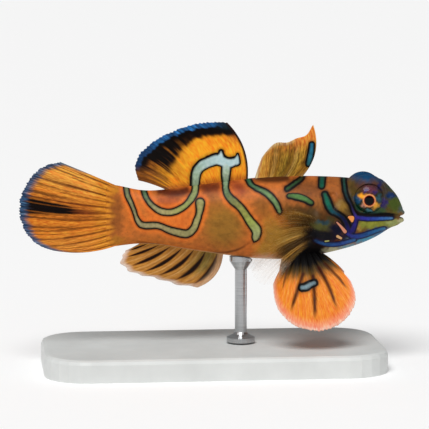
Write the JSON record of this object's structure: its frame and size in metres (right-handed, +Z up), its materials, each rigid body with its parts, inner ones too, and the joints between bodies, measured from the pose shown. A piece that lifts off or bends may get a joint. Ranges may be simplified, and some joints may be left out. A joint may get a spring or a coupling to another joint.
{
  "type": "mandarinfish model",
  "caption": "Life-size still model of a mandarinfish with spread fins and raised eyes, held on a slim steel rod above a plain flat base.",
  "frame": {"origin": "on the floor, under the middle of the model's bounding box", "axes": "+X from the tail to the head, along the fish's length; +Y to the fish's left flank; +Z up"},
  "size_m": [0.0704, 0.032, 0.0447],
  "materials": {
    "skin": "gloss, painted with green lines edged in black on orange, as wet skin",
    "fin": "gloss, painted orange with dark bands and a blue margin",
    "clear_fin": "gloss, thin and nearly clear",
    "eye": "polished, with a painted iris",
    "stand_plate": "satin",
    "stand_steel": "satin"
  },
  "bodies": {
    "root": {"head": "skin", "trunk": "skin", "tail_peduncle": "skin", "eye_right": "eye", "eye_left": "eye", "first_dorsal_fin": "fin", "second_dorsal_fin": "fin", "caudal_fin": "fin", "anal_fin": "fin", "pelvic_fin_right": "fin", "pelvic_fin_left": "fin", "pectoral_fin_right": "clear_fin", "pectoral_fin_left": "clear_fin", "stand_base": "stand_plate", "stand_rod": "stand_steel"}
  },
  "joints": []
}
